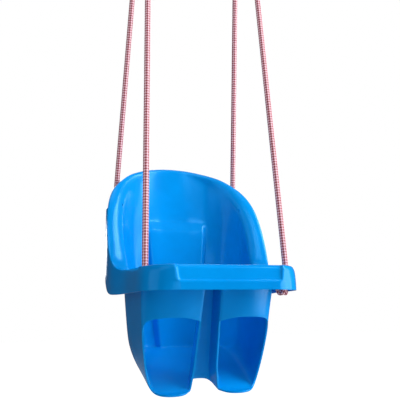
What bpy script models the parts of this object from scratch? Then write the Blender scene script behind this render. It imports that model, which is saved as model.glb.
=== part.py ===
"""Toddler bucket swing: one moulded seat on four braided ropes, hung from two steel rings.

Metres, +Z up, the child faces -Y, X across the seat. The world's origin lies midway between the
points where two hooks hold the rings. The seat, its ropes and knots are laid out in a frame of their
own, whose origin lies midway between the front rope holes on top of the rim, and hang from a pivot
on the rings' lower wire, at the lean where the seat balances.
"""

import math

import bmesh
import bpy
from mathutils import Matrix, Vector

UP = Vector((0.0, 0.0, 1.0))

# ---------------------------------------------------------------- driving dimensions
WALL = 0.0035  # wall of the moulding
GAP = 0.0003  # clearance where separate pieces meet
ROPE_D = 0.0115  # braided rope
BORE_D = 0.0145  # rope hole in the moulding

BAR_Y = -0.0630  # front face of the bar
BAR_LOW = -0.0430  # lower edge of the bar and of the rim's skirt
RIM_X = 0.1505  # half width of the rim beside its front corners
CORNER_R = 0.0580  # plan radius of those corners

FRONT_HOLE = Vector((0.1400, 0.0000, 0.0000))  # rope hole in a front corner, top of the rim
REAR_HOLE = Vector((0.1405, 0.2560, 0.1500))  # rope hole in an ear, top of the ear
KNOT_POINT = Vector((0.1085, 0.0800, 1.0400))  # where a side's two ropes come together
HANG_AXIS = Vector((0.0, 0.0800, 1.0850))  # the line that both ring loops turn on
HANG_TILT = math.radians(-4.335)  # lean of the seat at balance: its back hangs lower

EAR_R = 0.0195  # round end of an ear, about its rope hole
EAR_HEIGHTS = (-0.0060, 0.0400, 0.0800, 0.1180, 0.1500)
EAR_ROOT_Y = (0.2440, 0.2310, 0.2170, 0.2020)  # where it meets the tub's rear corner

RING_R = 0.0230  # steel ring, to the middle of its wire
WIRE_D = 0.0060
RING_CENTRE_Z = WIRE_D / 2 - RING_R  # the inside of a ring's top is at the origin's height
PIVOT_Z = RING_CENTRE_Z - RING_R  # middle of the wire at its bottom
KNOT_R = 0.0130
KNOT_H = 0.0300
LEFT_KNOT_H = 0.0190  # the front left one is drawn up tight, above the skirt's edge
FRONT_KNOT = Vector((0.1320, 0.0010, -0.0232))  # middle of the top of a front stopper knot
RING_KNOT_R = 0.0205  # the bulkier knot under a ring, which ties a side's two ropes together
RING_KNOT_TOP = 0.0160  # its top, above KNOT_POINT
RING_KNOT_H = 0.0320
ROPE_TOP = 0.0178  # a rope's end, below KNOT_POINT
ROPE_APART = 0.0085  # and fore or aft of it

BOSS_R = 0.0105  # boss round a front rope hole
BOSS_LOW = 0.0215  # its end, below the top of the rim
EAR_TOP = 0.0040  # wall over the hollow in an ear
ROPE_STOP = 0.0045  # a rear rope's end, below the top of the ear

BLUE = (0.010, 0.270, 0.840)
ROPE_RED = (0.620, 0.130, 0.200)
STEEL = (0.620, 0.620, 0.600)

# ---------------------------------------------------------------- the seat's sheet
# The sheet is a net of columns that run round the tub and rows that run from the skirt's free edge,
# over the rim and down the wall. Half of it is laid out, at +X, and mirrored.
FRONT_CELLS = 6  # web centre, web corner, opening's inner edge, three over the leg, outer edge
SIDE_CELLS = 13
BACK_CELLS = 6
CORNER_COLUMN = FRONT_CELLS + SIDE_CELLS
CENTRE_COLUMN = CORNER_COLUMN + BACK_CELLS
INNER_ROW, ARCH_ROW, FOLD_ROW = 6, 9, 12

# half width of the tub, of the space between the leg panels, and the Y of the back, against height
WIDTH = ((-0.240, 0.105), (-0.200, 0.1140), (-0.150, 0.1260), (-0.095, 0.1285), (0.0, 0.1360),
         (0.10, 0.1450), (0.16, 0.1495), (0.26, 0.1460))
INNER_EDGE = ((-0.232, 0.0290), (-0.200, 0.0235), (-0.100, 0.0197), (0.0, 0.0160))  # beside the web
BACK = ((-0.240, 0.236), (-0.150, 0.243), (0.0, 0.259), (0.10, 0.269), (0.20, 0.278), (0.26, 0.284))
TURN_Y = 0.118  # where the straight sides start to curve round the back
ROUNDNESS = ((-0.240, 5.0), (-0.060, 5.0), (0.030, 3.8), (0.150, 2.5), (0.260, 2.5))

# bottom of the tub along Y: lip of the leg trough, its slope, then the seat floor
BOTTOM = ((0.068, -0.2355), (0.083, -0.2320), (0.098, -0.2225), (0.1165, -0.2110),
          (0.140, -0.1970), (0.165, -0.1840), (0.188, -0.1720), (0.204, -0.1640),
          (0.235, -0.1530), (0.260, -0.1515))
FOLD_Y = (0.0925, 0.097, 0.102, 0.1075, 0.1135, 0.120, 0.128, 0.137, 0.147, 0.158, 0.170, 0.182,
          0.194, 0.205)  # the side columns' places along the fold between wall and bottom
TOP_Y = (0.0363, 0.044, 0.052, 0.061, 0.071, 0.082, 0.096, 0.114, 0.136, 0.154, 0.166, 0.177,
         0.190, 0.204)  # and along the rim's inner edge
TOP_Z = (0.0, 0.0, 0.0, 0.0, 0.0, 0.0, 0.0, 0.0, 0.005, 0.022, 0.049, 0.079, 0.112, 0.144)
BACK_X = (0.1280, 0.1130, 0.0850, 0.0725, 0.0360, 0.0)  # the back columns at the top
BACK_TAPER = 0.62  # how far they draw together by the bottom

# outer edge of the rim beside the seat, then of the wing's lip, and the skirt's free edge below it
SIDE_EDGE = ((0.1505, 0.018, 0.0), (0.1507, 0.036, 0.0), (0.1515, 0.055, 0.0), (0.1525, 0.074, 0.0),
             (0.1550, 0.093, 0.0), (0.1600, 0.114, 0.002), (0.1665, 0.131, 0.008),
             (0.1720, 0.143, 0.024), (0.1745, 0.154, 0.050), (0.1745, 0.165, 0.080),
             (0.1725, 0.178, 0.114), (0.1675, 0.193, 0.148))
SIDE_SKIRT = ((0.1530, 0.018, -0.043), (0.1535, 0.037, -0.043), (0.1545, 0.057, -0.043),
              (0.1555, 0.078, -0.043), (0.1580, 0.099, -0.0435), (0.1630, 0.126, -0.0435),
              (0.1665, 0.148, -0.0430), (0.1680, 0.170, -0.0410), (0.1675, 0.195, -0.0340),
              (0.1660, 0.218, -0.0180), (0.1645, 0.236, 0.0100), (0.1645, 0.232, 0.0750))
BACK_EDGE = ((0.1570, 0.2110, 0.1780), (0.1405, 0.2260, 0.2000), (0.1160, 0.2440, 0.2210),
             (0.0980, 0.2560, 0.2320), (0.0500, 0.2830, 0.2500), (0.0, 0.2900, 0.2545))
LEDGE_HIGH, LEDGE_LOW, LEDGE_IN = 0.128, 0.100, 0.012  # step in the back above the lumbar panel
WEB_LOW = -0.2085  # lower end of the web
FRONT_HEIGHTS = (-0.012, -0.045, -0.0925, -0.130, -0.185)  # rows of the front; the third is the arch
WALL_SHARES = (0.05, 0.19, 0.39, 0.55, 0.78)  # and of the sides, as shares of the way down


def between(table, at):
    """Straight-line value of a table of (place, value) pairs."""
    if at <= table[0][0]:
        return table[0][1]
    for (a, low), (b, high) in zip(table, table[1:]):
        if at <= b:
            return low + (high - low) * (at - a) / (b - a)
    return table[-1][1]


def mix(a, b, t):
    return a + (b - a) * t


def tub_x(y, z):
    """Half width of the tub at a place along its side."""
    width, back, power = between(WIDTH, z), between(BACK, z), between(ROUNDNESS, z)
    share = (y - TURN_Y) / (back - TURN_Y)
    if share <= 0:
        return width
    return width * max(0.0, 1 - min(share, 1.0) ** power) ** (1 / power)


def tub_y(x, z):
    """Y of the tub's back at a place across it."""
    width, back, power = between(WIDTH, z), between(BACK, z), between(ROUNDNESS, z)
    share = min(abs(x) / width, 1.0)
    return TURN_Y + (back - TURN_Y) * (1 - share ** power) ** (1 / power)


def bottom_z(y):
    return between(BOTTOM, y)


def front_edge_y(z):
    """Y of the upright edge between the front and the side."""
    return 0.0363 - 0.254 * z


def front_wall(column, z):
    """A point of the front: the web between the legs, its side, and the bulged leg panel."""
    inner_x, inner_y = between(INNER_EDGE, z), 0.0150 - 0.332 * z  # a leg panel's inner edge
    outer_x, outer_y = between(WIDTH, z), front_edge_y(z)
    crown_y = 0.0125 - 0.260 * z  # the fullest part of the panel
    web_y = 0.0475 - 0.333 * z
    if column == 0:
        return Vector((0.0, web_y, z))
    if column == 1:
        return Vector((inner_x - 0.004, web_y, z))
    if column == 2:
        return Vector((inner_x, inner_y, z))
    if column == FRONT_CELLS:
        return Vector((outer_x, outer_y, z))
    share, drop = {3: (0.20, 0.0040), 4: (0.50, 0.0), 5: (0.80, 0.0060)}[column]
    return Vector((mix(inner_x, outer_x, share), crown_y + drop, z))


def rim_inner(column):
    """Where the wall turns out into the rim or the lip."""
    if column <= FRONT_CELLS:
        return front_wall(column, 0.0)
    if column <= CORNER_COLUMN:
        side = column - FRONT_CELLS
        return Vector((tub_x(TOP_Y[side], TOP_Z[side]), TOP_Y[side], TOP_Z[side]))
    back = column - CORNER_COLUMN - 1
    z = BACK_EDGE[back][2] - 0.006
    return Vector((BACK_X[back], tub_y(BACK_X[back], z), z))


def fold(column):
    """Where the wall meets the bottom."""
    if column <= 1:
        return front_wall(column, WEB_LOW)
    if column <= FRONT_CELLS:
        x = {2: 0.0292, 3: 0.0440, 4: 0.0680, 5: 0.0920}.get(column, 0.1064)
        y = {2: 0.0880, 3: 0.0735, 4: 0.0700, 5: 0.0750}.get(column, FOLD_Y[0])
        return Vector((x, y, bottom_z(y)))
    if column <= CORNER_COLUMN:
        y = FOLD_Y[column - FRONT_CELLS]
        return Vector((tub_x(y, bottom_z(y)), y, bottom_z(y)))
    x = BACK_X[column - CORNER_COLUMN - 1] * BACK_TAPER
    z = bottom_z(0.25)
    return Vector((x, tub_y(x, z) - panel_in(column), z))


def panel_in(column):
    """How far the lumbar panel stands into the seat at a column."""
    return LEDGE_IN if column >= CENTRE_COLUMN - 2 else 0.0


def wall_point(column, row):
    top, low = rim_inner(column), fold(column)
    if column <= FRONT_CELLS:
        z = FRONT_HEIGHTS[row - INNER_ROW - 1]
        if row == ARCH_ROW:
            z += {2: -0.0065, 4: 0.0020, FRONT_CELLS: -0.0040}.get(column, 0.0)
        return front_wall(column, z)
    own = mix(top.z, low.z, WALL_SHARES[row - INNER_ROW - 1])
    high = (top.z - 0.016, LEDGE_HIGH, LEDGE_LOW, 0.020, -0.075)[row - INNER_ROW - 1]
    z = mix(own, high, min(1.0, max(0.0, (top.z - 0.14) / 0.07)))  # the rows turn level at the back
    down = (top.z - z) / (top.z - low.z)
    if column <= CORNER_COLUMN:
        y = front_edge_y(z) + mix(top.y - front_edge_y(top.z), low.y - front_edge_y(low.z), down)
        return Vector((tub_x(y, z), y, z))
    x = mix(top.x, low.x, down)
    inward = panel_in(column) if row >= ARCH_ROW else 0.0
    return Vector((x, tub_y(x, z) - inward, z))


def corner_point(angle, inset, z):
    """A point on the rim's front corner, at an angle round it from the front face."""
    reach = CORNER_R - inset
    return Vector((RIM_X - CORNER_R + reach * math.sin(angle),
                   BAR_Y + CORNER_R - reach * math.cos(angle), z))


def rim_point(column, row):
    """Skirt's free edge (row 0) to the middle of the flange (row 5)."""
    inner = rim_inner(column)
    if column <= 4:
        recessed = column < 4
        x = (0.0, 0.016, 0.045, 0.0925, 0.0965)[column]
        if column >= 3:  # the recess widens towards the top
            x += (0.0, 0.0, 0.0035, 0.0065, 0.0070, 0.0030)[row]
        inset = (0.0010, 0.0, 0.0030, 0.0055, 0.0095) if recessed else (0.0010, 0.0, 0.0, 0.0010, 0.0045)
        z = (BAR_LOW, -0.0285, -0.0258, -0.0045, 0.0)
        if row < 5:
            return Vector((x, BAR_Y + inset[row], z[row]))
        return mix(Vector((x, BAR_Y, 0.0)), inner, 0.5)
    if column <= 7:  # round the front corner
        angle = math.radians((33, 66, 90)[column - 5])
        inset = (-0.0010, -0.0010, -0.0005, 0.0005, 0.0050)
        z = (BAR_LOW, -0.0290, -0.0200, -0.0060, 0.0)
        if row < 5:
            return corner_point(angle, inset[row], z[row])
        return mix(corner_point(angle, 0.0050, 0.0), inner, 0.5)
    if column <= CORNER_COLUMN:
        side = column - 8
        edge, skirt = Vector(SIDE_EDGE[side]), Vector(SIDE_SKIRT[side])
        if row >= 4:
            edge.x -= 0.0045 * max(0.0, 1 - side / 5)
    else:
        back = column - CORNER_COLUMN - 1
        edge = Vector(BACK_EDGE[back])
        skirt = Vector((0.1575, 0.2240, 0.1560)) if back == 0 else edge + Vector((0.0, 0.0090, -0.0150))
    if row == 5:  # the middle of a lip is rounded up
        lift = 0.25 * (edge - inner).length * min(1.0, max(0.0, inner.z / 0.05))
        return mix(edge, inner, 0.5) + Vector((0.0, -lift * 0.55, lift * 0.15))
    shares = (0.0, 0.40, 0.70, 0.90, 1.0) if column <= CORNER_COLUMN else (0.0, 0.28, 0.53, 0.77, 1.0)
    return mix(skirt, edge, shares[row])


def sheet_point(column, row):
    if row < INNER_ROW:
        return rim_point(column, row) - UP * (WALL / 2)
    if row == INNER_ROW:
        return rim_inner(column) - UP * (WALL / 2)
    if row == FOLD_ROW:
        return fold(column)
    return wall_point(column, row)


def bottom_point(across, along):
    """The trough and seat floor, between the folds of the front, the side and the back."""
    front, back = fold(across), fold(CENTRE_COLUMN - across)
    share = (FOLD_Y[along] - FOLD_Y[0]) / (FOLD_Y[-1] - FOLD_Y[0])
    side_x = fold(FRONT_CELLS + along).x / mix(fold(FRONT_CELLS).x, fold(CORNER_COLUMN).x, share)
    y = mix(front.y, back.y, share)
    return Vector((mix(front.x, back.x, share) * side_x, y, bottom_z(y)))


def seat_sheet():
    """The whole sheet as one open mesh, both halves."""
    bm = bmesh.new()
    rows, columns = range(FOLD_ROW + 1), range(CENTRE_COLUMN + 1)
    grid = [[bm.verts.new(sheet_point(c, r)) for r in rows] for c in columns]
    for c in range(CENTRE_COLUMN):
        for r in range(FOLD_ROW):
            leg_opening = 2 <= c < FRONT_CELLS and r >= ARCH_ROW
            if not leg_opening:
                bm.faces.new((grid[c][r], grid[c][r + 1], grid[c + 1][r + 1], grid[c + 1][r]))
    floor = {}
    for across in range(FRONT_CELLS + 1):
        for along in range(SIDE_CELLS + 1):
            if along == 0:
                vert = grid[across][FOLD_ROW]
            elif along == SIDE_CELLS:
                vert = grid[CENTRE_COLUMN - across][FOLD_ROW]
            elif across == FRONT_CELLS:
                vert = grid[FRONT_CELLS + along][FOLD_ROW]
            else:
                vert = bm.verts.new(bottom_point(across, along))
            floor[across, along] = vert
    for across in range(FRONT_CELLS):
        for along in range(SIDE_CELLS):
            bm.faces.new((floor[across, along], floor[across, along + 1],
                          floor[across + 1, along + 1], floor[across + 1, along]))
    for v in bm.verts:
        if abs(v.co.x) < 1e-6:
            v.co.x = 0.0
    bmesh.ops.mirror(bm, geom=bm.verts[:] + bm.edges[:] + bm.faces[:], axis="X", merge_dist=1e-5)
    bmesh.ops.delete(bm, geom=[v for v in bm.verts if not v.link_faces], context="VERTS")
    bmesh.ops.recalc_face_normals(bm, faces=bm.faces)
    mesh = bpy.data.meshes.new("seat_shell")
    bm.to_mesh(mesh)
    bm.free()
    return mesh


# ---------------------------------------------------------------- making objects
def material(name, colour, roughness, metallic=0.0):
    made = bpy.data.materials.new(name)
    made.use_nodes = True
    shader = made.node_tree.nodes["Principled BSDF"]
    shader.inputs["Base Color"].default_value = (*colour, 1.0)
    shader.inputs["Roughness"].default_value = roughness
    shader.inputs["Metallic"].default_value = metallic
    made.diffuse_color = (*colour, 1.0)
    return made


def new_object(name, data, finish, parent=None):
    made = bpy.data.objects.new(name, data)
    bpy.context.scene.collection.objects.link(made)
    if finish:
        data.materials.append(finish)
    if parent:
        made.parent = parent
        made.location = -HANG_AXIS
    return made


def mesh_of(bm, name):
    """The closed mesh, facing out."""
    bmesh.ops.recalc_face_normals(bm, faces=bm.faces)
    if bm.calc_volume(signed=True) < 0:
        bmesh.ops.reverse_faces(bm, faces=bm.faces)
    mesh = bpy.data.meshes.new(name)
    bm.to_mesh(mesh)
    bm.free()
    return mesh


def rod(start, end, radius, name, sides=20):
    """A round rod between two points."""
    bm = bmesh.new()
    axis = end - start
    bmesh.ops.create_cone(bm, cap_ends=True, segments=sides, radius1=radius, radius2=radius,
                          depth=axis.length)
    turn = axis.to_track_quat("Z", "Y").to_matrix().to_4x4()
    bm.transform(Matrix.Translation((start + end) / 2) @ turn)
    return mesh_of(bm, name)


def cut_or_join(target, mesh, operation, parent):
    """Use a mesh as a guide that joins to, or cuts, the target, and bake the result."""
    tool = new_object("guide", mesh, None, parent)
    tool.hide_render = True
    tool.display_type = "WIRE"
    step = target.modifiers.new(operation.lower(), "BOOLEAN")
    step.operation = operation
    step.object = tool
    bpy.context.view_layer.update()
    depsgraph = bpy.context.evaluated_depsgraph_get()
    result = bpy.data.meshes.new_from_object(target.evaluated_get(depsgraph))
    target.modifiers.clear()
    target.data = result
    bpy.data.objects.remove(tool, do_unlink=True)


def ear_outline(z, shrink):
    """Plan of an ear at a height: a round end about the rope, and a root on the tub's wall."""
    root = [Vector((tub_x(y, z), y, z)) for y in EAR_ROOT_Y]
    out = (Vector((REAR_HOLE.x, REAR_HOLE.y, z)) - (root[0] + root[-1]) / 2).normalized()
    across = (root[-1] - root[0]).normalized()
    facing = math.atan2(out.y, out.x)
    arc = [Vector((REAR_HOLE.x + (EAR_R - shrink) * math.cos(facing + math.radians(a)),
                   REAR_HOLE.y + (EAR_R - shrink) * math.sin(facing + math.radians(a)), z))
           for a in range(-90, 91, 15)]
    if shrink:
        root = [p + out * 0.0030 for p in root]
        root[0] += across * shrink
        root[-1] -= across * shrink
    return arc + root


def ear_mesh(side, shrink, heights):
    """An ear, or the hollow in it, as outlines stacked up its height."""
    bm = bmesh.new()
    rings = []
    for z in heights:
        outline = ear_outline(max(z, EAR_HEIGHTS[0]), shrink)
        rings.append([bm.verts.new((p.x * side, p.y, z)) for p in outline])
    count = len(rings[0])
    for low, high in zip(rings, rings[1:]):
        for k in range(count):
            bm.faces.new((low[k], low[(k + 1) % count], high[(k + 1) % count], high[k]))
    bm.faces.new(rings[0])
    bm.faces.new(rings[-1])
    return mesh_of(bm, "ear")


def rope_route(side, rear):
    """The rope's own route points, from its stopper knot to the knot under the ring."""
    hole = REAR_HOLE if rear else FRONT_HOLE
    top = KNOT_POINT + Vector((0.0, ROPE_APART if rear else -ROPE_APART, -ROPE_TOP))
    points = [hole - UP * (ROPE_STOP if rear else BOSS_LOW + 0.0010), hole + UP * 0.0030]
    points += [mix(hole, top, t) for t in (0.25, 0.5, 0.75, 1.0)]
    return [Vector((p.x * side, p.y, p.z)) for p in points]


def smooth(points, step):
    """Points about a step apart on a smooth curve through the given ones."""
    padded = [2 * points[0] - points[1], *points, 2 * points[-1] - points[-2]]
    made = []
    for before, a, b, after in zip(padded, padded[1:], padded[2:], padded[3:]):
        pieces = max(1, round((b - a).length / step))
        for k in range(pieces):
            t = k / pieces
            made.append(0.5 * (2 * a + (b - before) * t + (2 * before - 5 * a + 4 * b - after) * t ** 2
                               + (3 * a - before - 3 * b + after) * t ** 3))
    return [*made, points[-1]]


def tube(name, points, diameter, finish, parent):
    curve = bpy.data.curves.new(name, "CURVE")
    curve.dimensions = "3D"
    curve.bevel_depth = diameter / 2
    curve.bevel_resolution = 2
    curve.use_fill_caps = True
    spline = curve.splines.new("POLY")
    spline.points.add(len(points) - 1)
    for spot, p in zip(spline.points, points):
        spot.co = (*p, 1.0)
    return new_object(name, curve, finish, parent)


def knot(name, top, height, radius, finish, parent, sides=18):
    """The outer shape of a knot, a round solid that hangs down from a point."""
    bm = bmesh.new()
    rings = []
    for share in (1.0, 0.88, 0.7, 0.5, 0.3, 0.12, 0.0):
        reach = radius * math.sin(math.pi * (0.16 + 0.68 * share)) ** 0.6  # like a barrel
        turns = [2 * math.pi * k / sides for k in range(sides)]
        level = top - UP * (height * share)
        rings.append([bm.verts.new(level + Vector((math.cos(a), math.sin(a), 0.0)) * reach) for a in turns])
    for low, high in zip(rings, rings[1:]):
        for k in range(sides):
            bm.faces.new((low[k], low[(k + 1) % sides], high[(k + 1) % sides], high[k]))
    bm.faces.new(rings[0])
    bm.faces.new(rings[-1])
    made = new_object(name, mesh_of(bm, name), finish, parent)
    made.data.shade_smooth()
    made.data.set_sharp_from_angle(angle=math.radians(40))


# ---------------------------------------------------------------- the pieces
def make_seat(finish, hanging):
    seat = new_object("seat_shell", seat_sheet(), finish, hanging)
    thick = seat.modifiers.new("wall", "SOLIDIFY")
    thick.thickness = WALL
    thick.offset = 0.0
    bpy.context.view_layer.update()
    result = bpy.data.meshes.new_from_object(seat.evaluated_get(bpy.context.evaluated_depsgraph_get()))
    seat.modifiers.clear()
    seat.data = result
    for side in (-1, 1):
        inside = (EAR_HEIGHTS[0] - 0.02, *EAR_HEIGHTS[1:-1], REAR_HOLE.z - EAR_TOP)
        cut_or_join(seat, ear_mesh(side, 0.0, EAR_HEIGHTS), "UNION", hanging)
        cut_or_join(seat, ear_mesh(side, WALL, inside), "DIFFERENCE", hanging)
        front = Vector((side * FRONT_HOLE.x, FRONT_HOLE.y, 0.0))
        rear = Vector((side * REAR_HOLE.x, REAR_HOLE.y, REAR_HOLE.z))
        boss = rod(front - UP * 0.0010, front - UP * BOSS_LOW, BOSS_R, "boss")
        front_bore = rod(front + UP * 0.0100, front - UP * 0.0300, BORE_D / 2, "bore")
        rear_bore = rod(rear + UP * 0.0100, rear - UP * 0.0120, BORE_D / 2, "bore")
        cut_or_join(seat, boss, "UNION", hanging)
        cut_or_join(seat, front_bore, "DIFFERENCE", hanging)
        cut_or_join(seat, rear_bore, "DIFFERENCE", hanging)
    seat.data.shade_smooth()
    seat.data.set_sharp_from_angle(angle=math.radians(35))


def make_ropes(finish, hanging):
    for rear, where in ((False, "front"), (True, "rear")):
        for side, hand in ((-1, "left"), (1, "right")):
            route = rope_route(side, rear)
            tube(f"rope_{where}_{hand}", smooth(route, ROPE_D * 2.6), ROPE_D, finish, hanging)
            if rear:
                top = Vector((side * REAR_HOLE.x, REAR_HOLE.y, REAR_HOLE.z - ROPE_STOP - GAP))
            else:
                top = Vector((side * FRONT_KNOT.x, FRONT_KNOT.y, FRONT_KNOT.z))
            height = LEFT_KNOT_H if side < 0 and not rear else KNOT_H
            knot(f"stopper_knot_{where}_{hand}", top, height, KNOT_R, finish, hanging)


def make_ring_ties(finish, steel, hanging):
    for side, hand in ((-1, "left"), (1, "right")):
        high = Vector((side * KNOT_POINT.x, KNOT_POINT.y, KNOT_POINT.z + RING_KNOT_TOP))
        knot(f"ring_knot_{hand}", high, RING_KNOT_H, RING_KNOT_R, finish, hanging)
        bend = WIRE_D / 2 + GAP + ROPE_D / 2
        leg = [Vector((high.x, HANG_AXIS.y - bend, high.z + GAP)),
               Vector((high.x, HANG_AXIS.y - bend, (high.z + HANG_AXIS.z) / 2))]
        arc = [Vector((high.x, HANG_AXIS.y - bend * math.cos(a), HANG_AXIS.z + bend * math.sin(a)))
               for a in (math.radians(d) for d in range(0, 181, 20))]
        other = [Vector((p.x, 2 * HANG_AXIS.y - p.y, p.z)) for p in reversed(leg)]
        tube(f"ring_loop_{hand}", leg + arc + other, ROPE_D, finish, hanging)

        bpy.ops.mesh.primitive_torus_add(major_segments=32, minor_segments=10, major_radius=RING_R,
                                         minor_radius=WIRE_D / 2, location=(high.x, 0, RING_CENTRE_Z),
                                         rotation=(math.pi / 2, 0, 0))
        ring = bpy.context.object
        ring.name = f"hanging_ring_{hand}"
        ring.data.name = ring.name
        ring.data.materials.append(steel)
        ring.data.shade_smooth()


def main():
    for old in list(bpy.data.objects):
        bpy.data.objects.remove(old, do_unlink=True)
    hanging = bpy.data.objects.new("swing_pivot", None)
    bpy.context.scene.collection.objects.link(hanging)
    hanging.location = (0.0, 0.0, PIVOT_Z)
    hanging.rotation_euler = (HANG_TILT, 0.0, 0.0)
    blue = material("moulded_plastic", BLUE, 0.22)
    rope = material("braided_rope", ROPE_RED, 0.85)
    steel = material("zinc_plated_steel", STEEL, 0.35, 1.0)
    make_seat(blue, hanging)
    make_ropes(rope, hanging)
    make_ring_ties(rope, steel, hanging)
    bpy.context.view_layer.update()


main()
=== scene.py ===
"""Looks of the toddler bucket swing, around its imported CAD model.

The seat is a moulding of even wall: a net of points, subdivided, thickened and rounded at its edges.
The ropes are braids with real relief. Places are laid out in the seat's own frame, as in part.py,
and moved to the row frame by seat_to_row.
"""

import math

import bmesh
import bpy
from mathutils import Matrix, Vector


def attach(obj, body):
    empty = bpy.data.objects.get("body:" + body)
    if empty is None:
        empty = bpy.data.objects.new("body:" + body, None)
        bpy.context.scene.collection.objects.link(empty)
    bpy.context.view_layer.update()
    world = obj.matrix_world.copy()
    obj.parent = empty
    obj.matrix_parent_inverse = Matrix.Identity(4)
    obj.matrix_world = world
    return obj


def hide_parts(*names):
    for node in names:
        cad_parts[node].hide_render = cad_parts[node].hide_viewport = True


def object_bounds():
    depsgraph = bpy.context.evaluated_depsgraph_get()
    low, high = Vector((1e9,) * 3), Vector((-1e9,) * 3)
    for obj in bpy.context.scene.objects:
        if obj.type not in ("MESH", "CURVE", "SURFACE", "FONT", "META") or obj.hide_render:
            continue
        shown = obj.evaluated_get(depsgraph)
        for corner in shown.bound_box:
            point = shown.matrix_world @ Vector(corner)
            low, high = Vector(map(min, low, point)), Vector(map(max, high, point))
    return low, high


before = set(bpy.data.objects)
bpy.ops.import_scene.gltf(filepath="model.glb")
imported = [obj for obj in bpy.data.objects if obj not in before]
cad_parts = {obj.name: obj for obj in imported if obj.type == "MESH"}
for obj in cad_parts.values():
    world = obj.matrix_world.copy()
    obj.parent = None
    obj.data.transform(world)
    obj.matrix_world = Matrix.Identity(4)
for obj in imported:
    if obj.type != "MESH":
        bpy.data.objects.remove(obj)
CAD_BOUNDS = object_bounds()

UP = Vector((0.0, 0.0, 1.0))

# ---------------------------------------------------------------- the same sizes as part.py's
# metres, in the seat's own frame: X across, -Y to the front, Z up from the tray's top
WALL = 0.0035  # wall of the moulding
GAP = 0.0003  # between pieces that touch
ROPE_D = 0.0115
BORE_D = 0.0145
BAR_Y = -0.0630
BAR_LOW = -0.0430
RIM_X = 0.1505
CORNER_R = 0.0580
FRONT_HOLE = Vector((0.1400, 0.0000, 0.0000))
REAR_HOLE = Vector((0.1405, 0.2560, 0.1500))
KNOT_POINT = Vector((0.1085, 0.0800, 1.0400))
HANG_AXIS = Vector((0.0, 0.0800, 1.0850))
HANG_TILT = math.radians(-4.335)
EAR_R = 0.0195
EAR_HEIGHTS = (-0.0060, 0.0400, 0.0800, 0.1180, 0.1500)
EAR_ROOT_Y = (0.2440, 0.2310, 0.2170, 0.2020)
RING_R = 0.0230
WIRE_D = 0.0060
RING_CENTRE_Z = WIRE_D / 2 - RING_R
PIVOT_Z = RING_CENTRE_Z - RING_R
KNOT_R = 0.0130
KNOT_H = 0.0300
LEFT_KNOT_H = 0.0190
FRONT_KNOT = Vector((0.1320, 0.0010, -0.0232))
ROPE_TOP = 0.0178  # the ropes' upper ends lie this far under the middle of the ring knot
ROPE_APART = 0.0085  # and this far before and behind it
ROPE_STOP = 0.0045  # a rear rope's lower end lies this far under its hole's top
BOSS_R = 0.0105
BOSS_LOW = 0.0215
EAR_TOP = 0.0040  # wall over the hollow of an ear
SEAT_TO_ROW = (Matrix.Translation((0.0, 0.0, PIVOT_Z)) @ Matrix.Rotation(HANG_TILT, 4, "X")
               @ Matrix.Translation(-HANG_AXIS))

# ---------------------------------------------------------------- the looks' own sizes
SKIRT_ROW, EDGE_ROW = 0, 4  # rows of the net at the skirt's free edge and at the rim's outer edge
EDGE_R = 0.0011  # rounding of the moulding's cut edges
EAR_EDGE_R = 0.0060
TIE_R, TIE_H, TIE_CORD_D = 0.0200, 0.0330, 0.0110  # the tied knot under a ring
KNOT_CORD_D = 0.0098  # a stopper knot's cord, drawn tight
RING_BEAD = 0.00035  # weld where a ring's wire ends meet
RING_BEAD_AT = 150.0  # its place round the ring in degrees, seen from in front
CREASES = {"rim_top": 0.55, "rim_low": 0.60, "facet": 0.85, "facet_end": 0.80, "web": 0.55,
           "opening": 0.45, "back_fold": 0.85, "panel": 0.50, "ledge": 0.45}
CORNER_CREASE = 0.35  # at the small round corner in which the bar's recess ends

# ---------------------------------------------------------------- looks
BRAID_AROUND = 6  # strands of each hand, counted round the rope
BRAID_PITCH = 0.0054  # height of one plait along the rope
BRAID_STEP = BRAID_PITCH / 5
BRAID_RELIEF = 0.00060
BLUE_DEEP = (0.000, 0.236, 0.665)
BLUE_LIGHT = (0.000, 0.275, 0.755)
ROPE_RED = (0.240, 0.003, 0.025)
ROPE_WHITE = (0.840, 0.570, 0.640)
STEEL = (0.600, 0.600, 0.590)
STEEL_DULL = (0.460, 0.460, 0.450)
CAMERA_PLACE = Vector((-0.4249, -1.0758, -0.0941))  # in the seat's own frame
CAMERA_TURNS = (20.0, 10.843, -1.072)  # degrees to the right, up, and of roll
LENS = 55.8
FLOOR_DROP = 0.55  # from the seat's lowest point to the floor
FILL = 0.06  # strength of the even light from all round
LIGHTS = (  # name, place, size, power in watts
    ("key_right", (1.5, -0.8, 0.2), (1.0, 1.2), 40.0),
    ("right_level", (1.6, -1.3, -1.1), (1.0, 1.5), 20.0),
    ("right_side", (1.8, -0.6, -1.0), (0.8, 1.5), 10.0),
    ("top", (0.0, 0.0, 0.9), (1.2, 1.2), 6.0),
    ("top_front", (-0.2, -1.6, 0.5), (1.0, 1.0), 14.0),
    ("front", (-0.2, -2.2, -0.9), (1.0, 1.4), 7.0),
    ("left_high", (-1.5, -1.0, 0.2), (1.0, 1.2), 4.0),
    ("left_level", (-1.8, -0.4, -1.0), (1.0, 1.5), 5.0),
    ("back", (0.5, 2.2, -0.4), (1.4, 1.6), 34.0),
)


# ---------------------------------------------------------------- the seat's sheet
# The sheet is a net of columns that run round the tub and rows that run from the skirt's free edge,
# over the rim and down the wall. Half of it is laid out, at +X, and mirrored.
FRONT_CELLS = 6  # web centre, web corner, opening's inner edge, three over the leg, outer edge
SIDE_CELLS = 13
BACK_CELLS = 6
CORNER_COLUMN = FRONT_CELLS + SIDE_CELLS
CENTRE_COLUMN = CORNER_COLUMN + BACK_CELLS
INNER_ROW, ARCH_ROW, FOLD_ROW = 6, 9, 12

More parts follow.
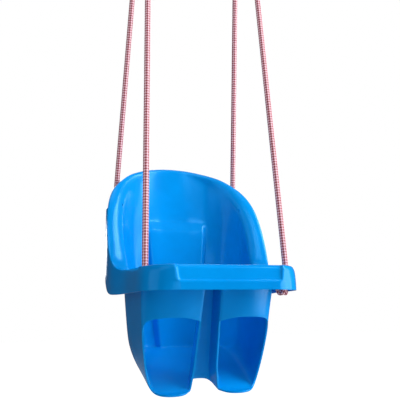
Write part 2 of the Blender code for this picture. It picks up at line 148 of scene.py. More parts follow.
# half width of the tub, of the space between the leg panels, and the Y of the back, against height
WIDTH = ((-0.240, 0.105), (-0.200, 0.1140), (-0.150, 0.1260), (-0.095, 0.1285), (0.0, 0.1360),
         (0.10, 0.1450), (0.16, 0.1495), (0.26, 0.1460))
INNER_EDGE = ((-0.232, 0.0290), (-0.200, 0.0235), (-0.100, 0.0197), (0.0, 0.0160))  # beside the web
BACK = ((-0.240, 0.236), (-0.150, 0.243), (0.0, 0.259), (0.10, 0.269), (0.20, 0.278), (0.26, 0.284))
TURN_Y = 0.118  # where the straight sides start to curve round the back
ROUNDNESS = ((-0.240, 5.0), (-0.060, 5.0), (0.030, 3.8), (0.150, 2.5), (0.260, 2.5))

# bottom of the tub along Y: lip of the leg trough, its slope, then the seat floor
BOTTOM = ((0.068, -0.2355), (0.083, -0.2320), (0.098, -0.2225), (0.1165, -0.2110),
          (0.140, -0.1970), (0.165, -0.1840), (0.188, -0.1720), (0.204, -0.1640),
          (0.235, -0.1530), (0.260, -0.1515))
FOLD_Y = (0.0925, 0.097, 0.102, 0.1075, 0.1135, 0.120, 0.128, 0.137, 0.147, 0.158, 0.170, 0.182,
          0.194, 0.205)  # the side columns' places along the fold between wall and bottom
TOP_Y = (0.0363, 0.044, 0.052, 0.061, 0.071, 0.082, 0.096, 0.114, 0.136, 0.154, 0.166, 0.177,
         0.190, 0.204)  # and along the rim's inner edge
TOP_Z = (0.0, 0.0, 0.0, 0.0, 0.0, 0.0, 0.0, 0.0, 0.005, 0.022, 0.049, 0.079, 0.112, 0.144)
BACK_X = (0.1280, 0.1130, 0.0850, 0.0725, 0.0360, 0.0)  # the back columns at the top
BACK_TAPER = 0.62  # how far they draw together by the bottom

# outer edge of the rim beside the seat, then of the wing's lip, and the skirt's free edge below it
SIDE_EDGE = ((0.1505, 0.018, 0.0), (0.1507, 0.036, 0.0), (0.1515, 0.055, 0.0), (0.1525, 0.074, 0.0),
             (0.1550, 0.093, 0.0), (0.1600, 0.114, 0.002), (0.1665, 0.131, 0.008),
             (0.1720, 0.143, 0.024), (0.1745, 0.154, 0.050), (0.1745, 0.165, 0.080),
             (0.1725, 0.178, 0.114), (0.1675, 0.193, 0.148))
SIDE_SKIRT = ((0.1530, 0.018, -0.043), (0.1535, 0.037, -0.043), (0.1545, 0.057, -0.043),
              (0.1555, 0.078, -0.043), (0.1580, 0.099, -0.0435), (0.1630, 0.126, -0.0435),
              (0.1665, 0.148, -0.0430), (0.1680, 0.170, -0.0410), (0.1675, 0.195, -0.0340),
              (0.1660, 0.218, -0.0180), (0.1645, 0.236, 0.0100), (0.1645, 0.232, 0.0750))
BACK_EDGE = ((0.1570, 0.2110, 0.1780), (0.1405, 0.2260, 0.2000), (0.1160, 0.2440, 0.2210),
             (0.0980, 0.2560, 0.2320), (0.0500, 0.2830, 0.2500), (0.0, 0.2900, 0.2545))
LEDGE_HIGH, LEDGE_LOW, LEDGE_IN = 0.128, 0.100, 0.012  # step in the back above the lumbar panel
WEB_LOW = -0.2085  # lower end of the web
FRONT_HEIGHTS = (-0.012, -0.045, -0.0925, -0.130, -0.185)  # rows of the front; the third is the arch
WALL_SHARES = (0.05, 0.19, 0.39, 0.55, 0.78)  # and of the sides, as shares of the way down


def between(table, at):
    """Straight-line value of a table of (place, value) pairs."""
    if at <= table[0][0]:
        return table[0][1]
    for (a, low), (b, high) in zip(table, table[1:]):
        if at <= b:
            return low + (high - low) * (at - a) / (b - a)
    return table[-1][1]


def mix(a, b, t):
    return a + (b - a) * t


def tub_x(y, z):
    """Half width of the tub at a place along its side."""
    width, back, power = between(WIDTH, z), between(BACK, z), between(ROUNDNESS, z)
    share = (y - TURN_Y) / (back - TURN_Y)
    if share <= 0:
        return width
    return width * max(0.0, 1 - min(share, 1.0) ** power) ** (1 / power)


def tub_y(x, z):
    """Y of the tub's back at a place across it."""
    width, back, power = between(WIDTH, z), between(BACK, z), between(ROUNDNESS, z)
    share = min(abs(x) / width, 1.0)
    return TURN_Y + (back - TURN_Y) * (1 - share ** power) ** (1 / power)


def bottom_z(y):
    return between(BOTTOM, y)


def front_edge_y(z):
    """Y of the upright edge between the front and the side."""
    return 0.0363 - 0.254 * z


def front_wall(column, z):
    """A point of the front: the web between the legs, its side, and the bulged leg panel."""
    inner_x, inner_y = between(INNER_EDGE, z), 0.0150 - 0.332 * z  # a leg panel's inner edge
    outer_x, outer_y = between(WIDTH, z), front_edge_y(z)
    crown_y = 0.0125 - 0.260 * z  # the fullest part of the panel
    web_y = 0.0475 - 0.333 * z
    if column == 0:
        return Vector((0.0, web_y, z))
    if column == 1:
        return Vector((inner_x - 0.004, web_y, z))
    if column == 2:
        return Vector((inner_x, inner_y, z))
    if column == FRONT_CELLS:
        return Vector((outer_x, outer_y, z))
    share, drop = {3: (0.20, 0.0040), 4: (0.50, 0.0), 5: (0.80, 0.0060)}[column]
    return Vector((mix(inner_x, outer_x, share), crown_y + drop, z))


def rim_inner(column):
    """Where the wall turns out into the rim or the lip."""
    if column <= FRONT_CELLS:
        return front_wall(column, 0.0)
    if column <= CORNER_COLUMN:
        side = column - FRONT_CELLS
        return Vector((tub_x(TOP_Y[side], TOP_Z[side]), TOP_Y[side], TOP_Z[side]))
    back = column - CORNER_COLUMN - 1
    z = BACK_EDGE[back][2] - 0.006
    return Vector((BACK_X[back], tub_y(BACK_X[back], z), z))


def fold(column):
    """Where the wall meets the bottom."""
    if column <= 1:
        return front_wall(column, WEB_LOW)
    if column <= FRONT_CELLS:
        x = {2: 0.0292, 3: 0.0440, 4: 0.0680, 5: 0.0920}.get(column, 0.1064)
        y = {2: 0.0880, 3: 0.0735, 4: 0.0700, 5: 0.0750}.get(column, FOLD_Y[0])
        return Vector((x, y, bottom_z(y)))
    if column <= CORNER_COLUMN:
        y = FOLD_Y[column - FRONT_CELLS]
        return Vector((tub_x(y, bottom_z(y)), y, bottom_z(y)))
    x = BACK_X[column - CORNER_COLUMN - 1] * BACK_TAPER
    z = bottom_z(0.25)
    return Vector((x, tub_y(x, z) - panel_in(column), z))


def panel_in(column):
    """How far the lumbar panel stands into the seat at a column."""
    return LEDGE_IN if column >= CENTRE_COLUMN - 2 else 0.0


def wall_point(column, row):
    top, low = rim_inner(column), fold(column)
    if column <= FRONT_CELLS:
        z = FRONT_HEIGHTS[row - INNER_ROW - 1]
        if row == ARCH_ROW:
            z += {2: -0.0065, 4: 0.0020, FRONT_CELLS: -0.0040}.get(column, 0.0)
        return front_wall(column, z)
    own = mix(top.z, low.z, WALL_SHARES[row - INNER_ROW - 1])
    high = (top.z - 0.016, LEDGE_HIGH, LEDGE_LOW, 0.020, -0.075)[row - INNER_ROW - 1]
    z = mix(own, high, min(1.0, max(0.0, (top.z - 0.14) / 0.07)))  # the rows turn level at the back
    down = (top.z - z) / (top.z - low.z)
    if column <= CORNER_COLUMN:
        y = front_edge_y(z) + mix(top.y - front_edge_y(top.z), low.y - front_edge_y(low.z), down)
        return Vector((tub_x(y, z), y, z))
    x = mix(top.x, low.x, down)
    inward = panel_in(column) if row >= ARCH_ROW else 0.0
    return Vector((x, tub_y(x, z) - inward, z))


def corner_point(angle, inset, z):
    """A point on the rim's front corner, at an angle round it from the front face."""
    reach = CORNER_R - inset
    return Vector((RIM_X - CORNER_R + reach * math.sin(angle),
                   BAR_Y + CORNER_R - reach * math.cos(angle), z))


def rim_point(column, row):
    """Skirt's free edge (row 0) to the middle of the flange (row 5)."""
    inner = rim_inner(column)
    if column <= 4:
        recessed = column < 4
        x = (0.0, 0.016, 0.045, 0.0925, 0.0965)[column]
        if column >= 3:  # the recess widens towards the top
            x += (0.0, 0.0, 0.0035, 0.0065, 0.0070, 0.0030)[row]
        inset = (0.0010, 0.0, 0.0030, 0.0055, 0.0095) if recessed else (0.0010, 0.0, 0.0, 0.0010, 0.0045)
        z = (BAR_LOW, -0.0285, -0.0258, -0.0045, 0.0)
        if row < 5:
            return Vector((x, BAR_Y + inset[row], z[row]))
        return mix(Vector((x, BAR_Y, 0.0)), inner, 0.5)
    if column <= 7:  # round the front corner
        angle = math.radians((33, 66, 90)[column - 5])
        inset = (-0.0010, -0.0010, -0.0005, 0.0005, 0.0050)
        z = (BAR_LOW, -0.0290, -0.0200, -0.0060, 0.0)
        if row < 5:
            return corner_point(angle, inset[row], z[row])
        return mix(corner_point(angle, 0.0050, 0.0), inner, 0.5)
    if column <= CORNER_COLUMN:
        side = column - 8
        edge, skirt = Vector(SIDE_EDGE[side]), Vector(SIDE_SKIRT[side])
        if row >= 4:
            edge.x -= 0.0045 * max(0.0, 1 - side / 5)
    else:
        back = column - CORNER_COLUMN - 1
        edge = Vector(BACK_EDGE[back])
        skirt = Vector((0.1575, 0.2240, 0.1560)) if back == 0 else edge + Vector((0.0, 0.0090, -0.0150))
    if row == 5:  # the middle of a lip is rounded up
        lift = 0.25 * (edge - inner).length * min(1.0, max(0.0, inner.z / 0.05))
        return mix(edge, inner, 0.5) + Vector((0.0, -lift * 0.55, lift * 0.15))
    shares = (0.0, 0.40, 0.70, 0.90, 1.0) if column <= CORNER_COLUMN else (0.0, 0.28, 0.53, 0.77, 1.0)
    return mix(skirt, edge, shares[row])


def sheet_point(column, row):
    if row < INNER_ROW:
        return rim_point(column, row) - UP * (WALL / 2)
    if row == INNER_ROW:
        return rim_inner(column) - UP * (WALL / 2)
    if row == FOLD_ROW:
        return fold(column)
    return wall_point(column, row)


def bottom_point(across, along):
    """The trough and seat floor, between the folds of the front, the side and the back."""
    front, back = fold(across), fold(CENTRE_COLUMN - across)
    share = (FOLD_Y[along] - FOLD_Y[0]) / (FOLD_Y[-1] - FOLD_Y[0])
    side_x = fold(FRONT_CELLS + along).x / mix(fold(FRONT_CELLS).x, fold(CORNER_COLUMN).x, share)
    y = mix(front.y, back.y, share)
    return Vector((mix(front.x, back.x, share) * side_x, y, bottom_z(y)))


# ---------------------------------------------------------------- materials
def new_material(name, roughness, metallic=0.0):
    """A material, its node tree and its shader."""
    made = bpy.data.materials.new(name)
    made.use_nodes = True
    shader = made.node_tree.nodes["Principled BSDF"]
    shader.inputs["Roughness"].default_value = roughness
    shader.inputs["Metallic"].default_value = metallic
    return made, made.node_tree, shader


def math_node(tree, operation, first, second=None):
    """A Math node; each input is a number or another node's output."""
    node = tree.nodes.new("ShaderNodeMath")
    node.operation = operation
    for socket, value in zip(node.inputs, (first, second)):
        if isinstance(value, (int, float)):
            socket.default_value = value
        elif value is not None:
            tree.links.new(value, socket)
    return node.outputs[0]


def noise(tree, scale, detail):
    """Noise from 0 to 1 in the object's own coordinates."""
    place = tree.nodes.new("ShaderNodeTexCoord")
    node = tree.nodes.new("ShaderNodeTexNoise")
    node.inputs["Scale"].default_value = scale
    node.inputs["Detail"].default_value = detail
    tree.links.new(place.outputs["Object"], node.inputs["Vector"])
    return node.outputs["Fac"]


def ramp(tree, factor, stops):
    """A colour ramp between two stops, each a place and a colour."""
    node = tree.nodes.new("ShaderNodeValToRGB")
    for element, (place, colour) in zip(node.color_ramp.elements, stops):
        element.position = place
        element.color = (*colour, 1.0)
    tree.links.new(factor, node.inputs["Fac"])
    return node.outputs["Color"]


def bump(tree, shader, height, strength, distance):
    node = tree.nodes.new("ShaderNodeBump")
    node.inputs["Strength"].default_value = strength
    node.inputs["Distance"].default_value = distance
    tree.links.new(height, node.inputs["Height"])
    tree.links.new(node.outputs["Normal"], shader.inputs["Normal"])


def plastic_material():
    """Blow-moulded polyethylene: glossy, a little waxy, with faint flow marks and handling scuffs."""
    made, tree, shader = new_material("moulded_blue_plastic", 0.26)
    shader.inputs["Specular IOR Level"].default_value = 0.55
    shader.inputs["Specular Tint"].default_value = (0.12, 0.50, 1.0, 1.0)
    flow = noise(tree, 14.0, 3.0)
    tint = ramp(tree, flow, ((0.30, BLUE_DEEP), (0.75, BLUE_LIGHT)))
    tree.links.new(tint, shader.inputs["Base Color"])
    scuffs = ramp(tree, noise(tree, 260.0, 4.0), ((0.35, (0.16,) * 3), (0.75, (0.25,) * 3)))
    tree.links.new(scuffs, shader.inputs["Roughness"])
    bump(tree, shader, noise(tree, 900.0, 2.0), 0.10, 0.0002)
    return made


def rope_material():
    """Red and white plaits: strands that lie over one way are red, over the other way white."""
    made, tree, shader = new_material("braided_red_white_rope", 0.78)
    shader.inputs["Sheen Weight"].default_value = 0.10
    place = tree.nodes.new("ShaderNodeUVMap")
    place.uv_map = "braid"
    split = tree.nodes.new("ShaderNodeSeparateXYZ")
    tree.links.new(place.outputs["UV"], split.inputs[0])
    around, along = split.outputs[0], split.outputs[1]
    right_hand = math_node(tree, "FLOOR", math_node(tree, "ADD", around, along))
    left_hand = math_node(tree, "FLOOR", math_node(tree, "SUBTRACT", around, along))
    column = math_node(tree, "FLOORED_MODULO", math_node(tree, "ADD", right_hand, left_hand), 2.0)
    white = math_node(tree, "GREATER_THAN", column, 0.5)
    fibres = math_node(tree, "MULTIPLY", noise(tree, 900.0, 3.0), 0.28)
    shade = math_node(tree, "ADD", math_node(tree, "MULTIPLY", white, 0.72), fibres)
    colour = ramp(tree, shade, ((0.10, ROPE_RED), (0.95, ROPE_WHITE)))
    tree.links.new(colour, shader.inputs["Base Color"])
    bump(tree, shader, noise(tree, 2200.0, 3.0), 0.35, 0.0003)
    return made


def steel_material():
    made, tree, shader = new_material("zinc_plated_ring", 0.32, 1.0)
    tone = noise(tree, 120.0, 4.0)
    tree.links.new(ramp(tree, tone, ((0.30, STEEL_DULL), (0.70, STEEL))), shader.inputs["Base Color"])
    haze = ramp(tree, noise(tree, 400.0, 3.0), ((0.3, (0.25,) * 3), (0.8, (0.42,) * 3)))
    tree.links.new(haze, shader.inputs["Roughness"])
    bump(tree, shader, noise(tree, 700.0, 3.0), 0.12, 0.0002)
    return made


# ---------------------------------------------------------------- making objects
def new_piece(name, mesh, finish):
    """An object with its material, in one of the part's material slots."""
    made = bpy.data.objects.new(name, mesh)
    bpy.context.scene.collection.objects.link(made)
    mesh.materials.clear()
    mesh.materials.append(finish)
    return made


def baked(thing):
    """The object's mesh with its modifiers applied."""
    bpy.context.view_layer.update()
    return bpy.data.meshes.new_from_object(thing.evaluated_get(bpy.context.evaluated_depsgraph_get()))


def mesh_of(bm, name):
    """The closed mesh, facing out."""
    bmesh.ops.recalc_face_normals(bm, faces=bm.faces)
    if bm.calc_volume(signed=True) < 0:
        bmesh.ops.reverse_faces(bm, faces=bm.faces)
    mesh = bpy.data.meshes.new(name)
    bm.to_mesh(mesh)
    bm.free()
    return mesh


def rod(start, end, radius, name):
    """A round rod between two points."""
    bm = bmesh.new()
    axis = end - start
    bmesh.ops.create_cone(bm, cap_ends=True, segments=48, radius1=radius, radius2=radius,
                          depth=axis.length)
    turn = axis.to_track_quat("Z", "Y").to_matrix().to_4x4()
    bm.transform(Matrix.Translation((start + end) / 2) @ turn)
    return mesh_of(bm, name)


def cut_or_join(target, mesh, operation):
    """Use a mesh as a guide that joins to, or cuts, the target."""
    tool = bpy.data.objects.new("guide", mesh)
    bpy.context.scene.collection.objects.link(tool)
    step = target.modifiers.new(operation.lower(), "BOOLEAN")
    step.operation = operation
    step.object = tool
    target.data = baked(target)
    target.modifiers.clear()
    bpy.data.objects.remove(tool, do_unlink=True)


# ---------------------------------------------------------------- the seat
def edge_crease(kind_a, kind_b):
    """How sharp an edge of the net stays; each end is a set of names from crease_names."""
    shared = kind_a & kind_b
    if "facet_corner" in kind_a | kind_b:
        return CORNER_CREASE if shared else 0.0
    return max((CREASES[name] for name in shared), default=0.0)


def crease_names(column, row):
    """Which of the moulding's edges a net point lies on."""
    names = set()
    if row == EDGE_ROW:
        names.add("rim_top")
    if row == SKIRT_ROW:
        names.add("rim_low")
    if column <= 3 and row in (1, 2, 3):
        names.add("facet")
    if column in (3, 4) and 1 <= row <= EDGE_ROW:
        names.add("facet_end")
    if column in (1, 2) and row >= INNER_ROW:
        names.add("web")
    if column == 3 and row == 2:
        names.add("facet_corner")
    if column >= CORNER_COLUMN and row == FOLD_ROW:
        names.add("back_fold")
    if column in (CENTRE_COLUMN - 3, CENTRE_COLUMN - 2) and row >= ARCH_ROW:
        names.add("panel")
    if column >= CENTRE_COLUMN - 3 and row in (ARCH_ROW - 1, ARCH_ROW):
        names.add("ledge")
    if column == FRONT_CELLS and row >= ARCH_ROW:
        names.add("opening")
    return names


def seat_net():
    """The whole net as one open mesh with its creases, both halves."""
    bm = bmesh.new()
    crease = bm.edges.layers.float.new("crease_edge")
    rows = range(FOLD_ROW + 1)
    grid = [[bm.verts.new(sheet_point(c, r)) for r in rows] for c in range(CENTRE_COLUMN + 1)]
    names = {grid[c][r]: crease_names(c, r) for c in range(CENTRE_COLUMN + 1) for r in rows}
    for c in range(CENTRE_COLUMN):
        for r in range(FOLD_ROW):
            leg_opening = 2 <= c < FRONT_CELLS and r >= ARCH_ROW
            if not leg_opening:
                bm.faces.new((grid[c][r], grid[c][r + 1], grid[c + 1][r + 1], grid[c + 1][r]))
    floor = {}
    for across in range(FRONT_CELLS + 1):
        for along in range(SIDE_CELLS + 1):
            if along == 0:
                vert = grid[across][FOLD_ROW]
            elif along == SIDE_CELLS:
                vert = grid[CENTRE_COLUMN - across][FOLD_ROW]
            elif across == FRONT_CELLS:
                vert = grid[FRONT_CELLS + along][FOLD_ROW]
            else:
                vert = bm.verts.new(bottom_point(across, along))
            floor[across, along] = vert
    for across in range(FRONT_CELLS):
        for along in range(SIDE_CELLS):
            bm.faces.new((floor[across, along], floor[across, along + 1],
                          floor[across + 1, along + 1], floor[across + 1, along]))
    for edge in bm.edges:
        first, second = edge.verts
        edge[crease] = edge_crease(names.get(first, set()), names.get(second, set()))
    bmesh.ops.delete(bm, geom=[v for v in bm.verts if not v.link_faces], context="VERTS")
    for v in bm.verts:
        if abs(v.co.x) < 1e-6:
            v.co.x = 0.0
    bmesh.ops.mirror(bm, geom=bm.verts[:] + bm.edges[:] + bm.faces[:], axis="X", merge_dist=1e-5)
    bmesh.ops.recalc_face_normals(bm, faces=bm.faces)
    mesh = bpy.data.meshes.new("seat_net")
    bm.to_mesh(mesh)
    bm.free()
    return mesh


def ear_outline(z, shrink):
    """Plan of an ear at a height: a round end about the rope, and a root on the tub's wall."""
    root = [Vector((tub_x(y, z), y, z)) for y in EAR_ROOT_Y]
    out = (Vector((REAR_HOLE.x, REAR_HOLE.y, z)) - (root[0] + root[-1]) / 2).normalized()
    across = (root[-1] - root[0]).normalized()
    facing = math.atan2(out.y, out.x)
    arc = [Vector((REAR_HOLE.x + (EAR_R - shrink) * math.cos(facing + math.radians(a)),
                   REAR_HOLE.y + (EAR_R - shrink) * math.sin(facing + math.radians(a)), z))
           for a in range(-90, 91, 6)]
    if shrink:
        root = [p + out * 0.0030 for p in root]
        root[0] += across * shrink
        root[-1] -= across * shrink
    return arc + root


def ear_mesh(side, shrink, levels):
    """An ear, or the hollow in it. Each level is a height and how far the outline draws in there."""
    bm = bmesh.new()
    rings = []
    for z, inset in levels:
        outline = ear_outline(min(max(z, EAR_HEIGHTS[0]), EAR_HEIGHTS[-1]), shrink)
        centre = Vector((REAR_HOLE.x, REAR_HOLE.y, z))
        ring = []
        for p in outline:
            towards = centre - Vector((p.x, p.y, z))
            near = max(0.0, 1.0 - max(0.0, towards.length - EAR_R) / 0.012)
            spot = Vector((p.x, p.y, z)) + towards.normalized() * inset * near
            ring.append(bm.verts.new((spot.x * side, spot.y, z)))
        rings.append(ring)
    count = len(rings[0])
    for low, high in zip(rings, rings[1:]):
        for k in range(count):
            bm.faces.new((low[k], low[(k + 1) % count], high[(k + 1) % count], high[k]))
    bm.faces.new(rings[0])
    bm.faces.new(rings[-1])
    return mesh_of(bm, "ear")


def make_seat(finish):
    seat = new_piece("moulded_seat", seat_net(), finish)
    smooth = seat.modifiers.new("smooth", "SUBSURF")
    smooth.levels = smooth.render_levels = 3
    thick = seat.modifiers.new("wall", "SOLIDIFY")
    thick.thickness = WALL
    thick.offset = 0.0
    rounded = seat.modifiers.new("edges", "BEVEL")
    rounded.width = EDGE_R
    rounded.segments = 2
    rounded.limit_method = "ANGLE"
    rounded.angle_limit = math.radians(50)
    seat.data = baked(seat)
    seat.modifiers.clear()

    top = EAR_HEIGHTS[-1]
    round_top = [(top - EAR_EDGE_R * (1 - math.sin(a)), EAR_EDGE_R * (1 - math.cos(a)))
                 for a in (math.radians(d) for d in (0, 22, 45, 67, 85))]
    outer_levels = [(z, 0.0) for z in EAR_HEIGHTS[:-1]] + round_top
    inner_levels = [(z, 0.0) for z in (EAR_HEIGHTS[0] - 0.02, *EAR_HEIGHTS[1:-1], top - EAR_TOP)]
    for side in (-1, 1):
        front = Vector((side * FRONT_HOLE.x, FRONT_HOLE.y, 0.0))
        rear = Vector((side * REAR_HOLE.x, REAR_HOLE.y, REAR_HOLE.z))
        cut_or_join(seat, ear_mesh(side, 0.0, outer_levels), "UNION")
        cut_or_join(seat, ear_mesh(side, WALL, inner_levels), "DIFFERENCE")
        boss = rod(front - UP * 0.0010, front - UP * BOSS_LOW, BOSS_R, "boss")
        front_bore = rod(front + UP * 0.0100, front - UP * 0.0300, BORE_D / 2, "bore")
        rear_bore = rod(rear + UP * 0.0100, rear - UP * 0.0120, BORE_D / 2, "bore")
        cut_or_join(seat, boss, "UNION")
        cut_or_join(seat, front_bore, "DIFFERENCE")
        cut_or_join(seat, rear_bore, "DIFFERENCE")
    seat.data.materials.clear()
    seat.data.materials.append(finish)
    seat.data.shade_smooth()
    seat.data.set_sharp_from_angle(angle=math.radians(38))
    seat.data.transform(SEAT_TO_ROW)
    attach(seat, "swing")
    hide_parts("seat_shell")


# ---------------------------------------------------------------- ropes and knots
def smooth_line(points, step):
    """Points about a step apart on a smooth curve through the given ones."""
    padded = [2 * points[0] - points[1], *points, 2 * points[-1] - points[-2]]
    made = []
    for before, a, b, after in zip(padded, padded[1:], padded[2:], padded[3:]):
        pieces = max(1, round((b - a).length / step))
        for k in range(pieces):
            t = k / pieces
            made.append(0.5 * (2 * a + (b - before) * t + (2 * before - 5 * a + 4 * b - after) * t ** 2
                               + (3 * a - before - 3 * b + after) * t ** 3))
    return [*made, points[-1]]


def braid_mesh(name, line, diameter, closed=False):
    """A braided cord along a line: a tube whose surface rises and falls with every plait."""
    per_strand = 5
    sides = BRAID_AROUND * per_strand
    radius = diameter / 2
    bm = bmesh.new()
    braid = bm.loops.layers.uv.new("braid")
    count = len(line)
    rings, travelled = [], []
    normal = (line[1] - line[0]).orthogonal().normalized()
    run = 0.0
    for i, spot in enumerate(line):
        before = line[i - 1] if i or closed else spot
        after = line[(i + 1) % count] if i < count - 1 or closed else spot
        tangent = (after - before).normalized()
        normal = (normal - tangent * normal.dot(tangent)).normalized()
        across = tangent.cross(normal)
        if i:
            run += (spot - line[i - 1]).length
        travelled.append(run)
        ring = []
        for k in range(sides):
            around = k / per_strand
            along = run / BRAID_PITCH
            rise = abs(math.sin(math.pi * (around + along)) * math.sin(math.pi * (around - along)))
            reach = radius - BRAID_RELIEF + BRAID_RELIEF * 1.4 * rise ** 0.6
            angle = 2 * math.pi * k / sides
            ring.append(bm.verts.new(spot + reach * (math.cos(angle) * normal + math.sin(angle) * across)))
        rings.append(ring)
    pairs = [(i, i + 1) for i in range(count - 1)]
    if closed:
        pairs.append((count - 1, 0))
    for i, j in pairs:
        far = travelled[j] if j > i else run + (line[0] - line[-1]).length
        for k in range(sides):
            n = (k + 1) % sides
            face = bm.faces.new((rings[i][k], rings[i][n], rings[j][n], rings[j][k]))
            corners = ((k, travelled[i]), (k + 1, travelled[i]), (k + 1, far), (k, far))
            for loop, (turn, run_here) in zip(face.loops, corners):
                loop[braid].uv = (turn / per_strand, run_here / BRAID_PITCH)
    if not closed:
        bm.faces.new(rings[0])
        bm.faces.new(rings[-1])
    mesh = mesh_of(bm, name)
    mesh.shade_smooth()
    return mesh


def rope_route(side, rear):
    """The rope's route points, the same as part.py's."""
    hole = REAR_HOLE if rear else FRONT_HOLE
    top = KNOT_POINT + Vector((0.0, ROPE_APART if rear else -ROPE_APART, -ROPE_TOP))
    points = [hole - UP * (ROPE_STOP if rear else BOSS_LOW + 0.0010), hole + UP * 0.0030]
    points += [hole.lerp(top, t) for t in (0.25, 0.5, 0.75, 1.0)]
    return [Vector((p.x * side, p.y, p.z)) for p in points]


def knot_line(centre, spread, half_height, turns=96):
    """A closed tight knot: three crossings round an upright axis."""
    made = []
    for k in range(turns):
        t = 2 * math.pi * k / turns
        flat = Vector((math.sin(t) + 2 * math.sin(2 * t), math.cos(t) - 2 * math.cos(2 * t), 0.0)) * spread
        made.append(centre + flat + UP * (-math.sin(3 * t) * half_height))
    return made


def make_knot(name, node, centre, radius, height, cord_d, finish):
    spread = (radius - cord_d / 2) / 3
    line = knot_line(centre, spread, (height - cord_d) / 2)
    knot = new_piece(name, braid_mesh(name, line, cord_d, closed=True), finish)
    knot.data.transform(SEAT_TO_ROW)
    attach(knot, "swing")
    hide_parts(node)
    return knot


def make_ropes(finish):
    for side, hand in ((-1, "left"), (1, "right")):
        middle = Vector((side * KNOT_POINT.x, KNOT_POINT.y, KNOT_POINT.z))
        ring_knot = make_knot(f"ring_knot_rope_{hand}", f"ring_knot_{hand}", middle,
                              TIE_R, TIE_H, TIE_CORD_D, finish)
        bend = WIRE_D / 2 + GAP + ROPE_D / 2
        leg = [Vector((middle.x, HANG_AXIS.y - bend, z))
               for z in (middle.z + 0.0100, HANG_AXIS.z - 0.0080)]
        arc = [Vector((middle.x, HANG_AXIS.y - bend * math.cos(a), HANG_AXIS.z + bend * math.sin(a)))
               for a in (math.radians(d) for d in range(0, 181, 15))]
        other = [Vector((p.x, 2 * HANG_AXIS.y - p.y, p.z)) for p in reversed(leg)]
        line = smooth_line(leg + arc + other, BRAID_STEP)
        eye = braid_mesh("ring_eye", line, ROPE_D)
        loop = new_piece(f"ring_eye_rope_{hand}", eye, finish)
        loop.data.transform(SEAT_TO_ROW)
        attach(loop, "swing")
        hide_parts(f"ring_loop_{hand}")

    for rear, where in ((False, "front"), (True, "rear")):
        for side, hand in ((-1, "left"), (1, "right")):
            route = smooth_line(rope_route(side, rear), BRAID_STEP)
            name = f"braided_rope_{where}_{hand}"
            rope = new_piece(name, braid_mesh(name, route, ROPE_D), finish)
            rope.data.transform(SEAT_TO_ROW)
            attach(rope, "swing")
            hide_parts(f"rope_{where}_{hand}")
            height = LEFT_KNOT_H if side < 0 and not rear else KNOT_H
            if rear:
                top = Vector((side * REAR_HOLE.x, REAR_HOLE.y, REAR_HOLE.z - ROPE_STOP - GAP))
            else:
                top = Vector((side * FRONT_KNOT.x, FRONT_KNOT.y, FRONT_KNOT.z))
            stopper = make_knot(f"stopper_knot_rope_{where}_{hand}", f"stopper_knot_{where}_{hand}",
                                top - UP * height / 2, KNOT_R, height, KNOT_CORD_D, finish)


def make_rings(finish):
    """Welded round-wire rings with a low bead where the wire's ends meet."""
    around, through = 120, 28
    for side, hand in ((-1, "left"), (1, "right")):
        bm = bmesh.new()
        rings = []
        for i in range(around):
            a = 2 * math.pi * i / around
            bead = RING_BEAD * math.exp(-((math.degrees(a) - RING_BEAD_AT) / 4.0) ** 2)
            outward = Vector((math.cos(a), 0.0, math.sin(a)))
            ring = []
            for k in range(through):
                b = 2 * math.pi * k / through
                reach = WIRE_D / 2 + bead
                spot = outward * (RING_R + reach * math.cos(b)) + Vector((0.0, reach * math.sin(b), 0.0))
                ring.append(bm.verts.new(spot + Vector((side * KNOT_POINT.x, 0.0, RING_CENTRE_Z))))
            rings.append(ring)
        for i in range(around):
            near, far = rings[i], rings[(i + 1) % around]
            for k in range(through):
                n = (k + 1) % through
                bm.faces.new((near[k], near[n], far[n], far[k]))
        mesh = mesh_of(bm, f"steel_ring_{hand}")
        mesh.shade_smooth()
        ring = new_piece(f"steel_ring_{hand}", mesh, finish)
        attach(ring, "hanging_rings")
        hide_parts(f"hanging_ring_{hand}")


# ---------------------------------------------------------------- camera, light and floor
def make_camera():
    """The photograph's view: from in front on the left, a little below the tray, looking up."""
    azimuth, pitch, roll = (math.radians(turn) for turn in CAMERA_TURNS)
    forward = Vector((math.sin(azimuth) * math.cos(pitch), math.cos(azimuth) * math.cos(pitch),
                      math.sin(pitch)))
    right = Vector((math.cos(azimuth), -math.sin(azimuth), 0.0))
    upward = right.cross(forward)
    right, upward = (right * math.cos(roll) + upward * math.sin(roll),
                     upward * math.cos(roll) - right * math.sin(roll))
    turn = Matrix((right, upward, -forward)).transposed().to_4x4()
    data = bpy.data.cameras.new("camera")
    data.sensor_width = 36.0
    data.lens = LENS
    camera = bpy.data.objects.new("camera", data)
    bpy.context.scene.collection.objects.link(camera)
    camera.matrix_world = SEAT_TO_ROW @ Matrix.Translation(CAMERA_PLACE) @ turn
    bpy.context.scene.camera = camera


def area_light(name, place, target, size, power):
    data = bpy.data.lights.new(name, "AREA")
    data.shape = "RECTANGLE"
    data.size, data.size_y = size
    data.energy = power
    light = bpy.data.objects.new(name, data)
    bpy.context.scene.collection.objects.link(light)
    light.location = place
    light.rotation_euler = (Vector(target) - Vector(place)).to_track_quat("-Z", "Y").to_euler()


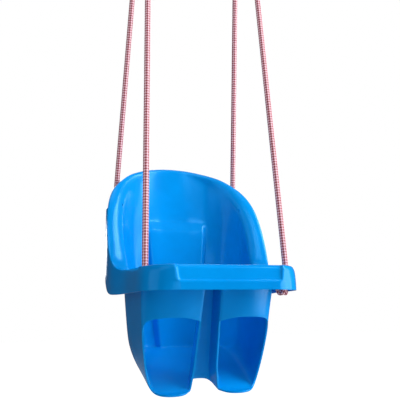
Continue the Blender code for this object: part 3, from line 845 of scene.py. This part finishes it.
def make_studio():
    """White surroundings, soft lights and a pale floor that the picture can't tell from them."""
    world = bpy.data.worlds.new("studio")
    bpy.context.scene.world = world
    world.use_nodes = True
    tree = world.node_tree
    shown = tree.nodes["Background"]
    shown.inputs["Color"].default_value = (1.0, 1.0, 1.0, 1.0)
    shown.inputs["Strength"].default_value = 1.0
    fill = tree.nodes.new("ShaderNodeBackground")
    fill.inputs["Color"].default_value = (0.9, 0.95, 1.0, 1.0)
    fill.inputs["Strength"].default_value = FILL
    paths = tree.nodes.new("ShaderNodeLightPath")
    choose = tree.nodes.new("ShaderNodeMixShader")
    tree.links.new(paths.outputs["Is Camera Ray"], choose.inputs[0])
    tree.links.new(fill.outputs[0], choose.inputs[1])
    tree.links.new(shown.outputs[0], choose.inputs[2])
    tree.links.new(choose.outputs[0], tree.nodes["World Output"].inputs["Surface"])
    bpy.context.scene.view_settings.view_transform = "Standard"
    seat_middle = (0.0, 0.0, -1.05)
    for name, place, size, power in LIGHTS:
        area_light(name, place, seat_middle, size, power)

    finish, tree, shader = new_material("pale_floor", 0.9)
    shader.inputs["Base Color"].default_value = (0.5, 0.5, 0.5, 1.0)
    shader.inputs["Emission Color"].default_value = (1.0, 1.0, 1.0, 1.0)
    paths = tree.nodes.new("ShaderNodeLightPath")
    tree.links.new(paths.outputs["Is Camera Ray"], shader.inputs["Emission Strength"])
    sides = tree.nodes.new("ShaderNodeNewGeometry")
    see_through = tree.nodes.new("ShaderNodeBsdfTransparent")
    one_sided = tree.nodes.new("ShaderNodeMixShader")
    tree.links.new(sides.outputs["Backfacing"], one_sided.inputs[0])
    tree.links.new(shader.outputs[0], one_sided.inputs[1])
    tree.links.new(see_through.outputs[0], one_sided.inputs[2])
    tree.links.new(one_sided.outputs[0], tree.nodes["Material Output"].inputs["Surface"])
    half, low = 6.0, CAD_BOUNDS[0][2] - FLOOR_DROP
    bm = bmesh.new()
    bm.faces.new([bm.verts.new((x * half, y * half, low)) for x, y in ((-1, -1), (1, -1), (1, 1), (-1, 1))])
    mesh = bpy.data.meshes.new("floor")
    bm.to_mesh(mesh)
    bm.free()
    mesh.materials.append(finish)
    floor = bpy.data.objects.new("floor", mesh)
    bpy.context.scene.collection.objects.link(floor)


make_camera()
make_ropes(rope_material())
make_seat(plastic_material())
make_rings(steel_material())
make_studio()
bpy.context.view_layer.update()
